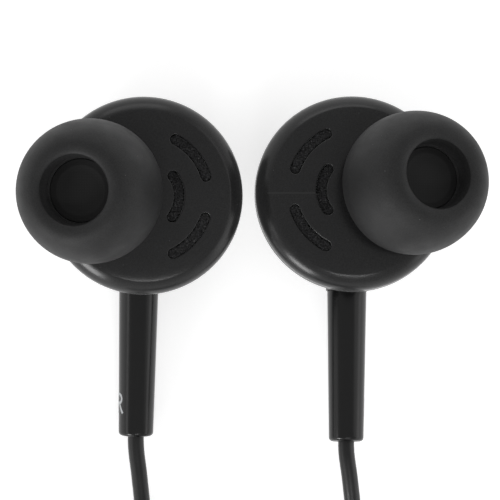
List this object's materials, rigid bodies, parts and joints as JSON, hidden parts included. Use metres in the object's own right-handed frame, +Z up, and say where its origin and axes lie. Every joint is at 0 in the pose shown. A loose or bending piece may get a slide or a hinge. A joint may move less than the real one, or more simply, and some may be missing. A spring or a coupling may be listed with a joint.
{
  "type": "wired earphones",
  "caption": "Wired in-ear earphones with round vented housings, tilted nozzles, soft tips and slim stems, their cord wound and ending in a jack plug.",
  "frame": {"origin": "on the surface that the earphones lie on, under the middle of the two earphones' box without the cord", "axes": "+X from the right earphone to the left one, +Y from the stems to the housings, +Z up from the surface, out of the faces"},
  "size_m": [0.0468, 0.0872, 0.0176],
  "materials": {
    "housing": "satin moulded black",
    "stem": "polished black",
    "silicone": "matt satin dark grey silicone",
    "mesh": "blackened fine mesh",
    "felt": "black acoustic felt",
    "frame": "black",
    "film": "clear satin film",
    "copper": "enamelled copper wire",
    "magnet": "plated",
    "steel": "plated steel",
    "board": "green solder mask",
    "cord": "satin black jacket",
    "grip": "satin black",
    "contact": "nickel plated",
    "band": "black",
    "tie": "black"
  },
  "bodies": {
    "earphones": {"right_front_shell": "housing", "right_rear_shell": "housing", "right_stem": "stem", "right_nozzle_mesh": "mesh", "right_vent_felt": "felt", "right_driver_frame": "frame", "right_diaphragm": "film", "right_voice_coil": "copper", "right_top_plate": "steel", "right_magnet": "magnet", "right_yoke": "steel", "right_terminal_board": "board", "right_crimp": "steel", "right_inner_lead": "cord", "left_front_shell": "housing", "left_rear_shell": "housing", "left_stem": "stem", "left_nozzle_mesh": "mesh", "left_vent_felt": "felt", "left_driver_frame": "frame", "left_diaphragm": "film", "left_voice_coil": "copper", "left_top_plate": "steel", "left_magnet": "magnet", "left_yoke": "steel", "left_terminal_board": "board", "left_crimp": "steel", "left_inner_lead": "cord", "right_lead": "cord", "right_lead_coil": "cord", "right_lead_out": "cord", "left_lead": "cord", "left_lead_coil": "cord", "left_lead_out": "cord", "splitter": "grip", "trunk_start": "cord", "trunk_coil": "cord", "trunk_end": "cord", "cable_tie": "tie", "plug_strain_relief": "grip", "plug_grip": "grip", "plug_sleeve": "contact", "plug_ring": "contact", "plug_tip": "contact", "plug_rear_band": "band", "plug_front_band": "band"},
    "right_tip": {"right_ear_tip": "silicone"},
    "left_tip": {"left_ear_tip": "silicone"}
  },
  "joints": [
    {"name": "right_tip_pull", "type": "slide", "parent": "earphones", "child": "right_tip", "axis": [-0.3256, -0.0012, 0.9455], "range_m": [0, 0.006]},
    {"name": "left_tip_pull", "type": "slide", "parent": "earphones", "child": "left_tip", "axis": [0.2675, 0.1353, 0.954], "range_m": [0, 0.006]}
  ]
}
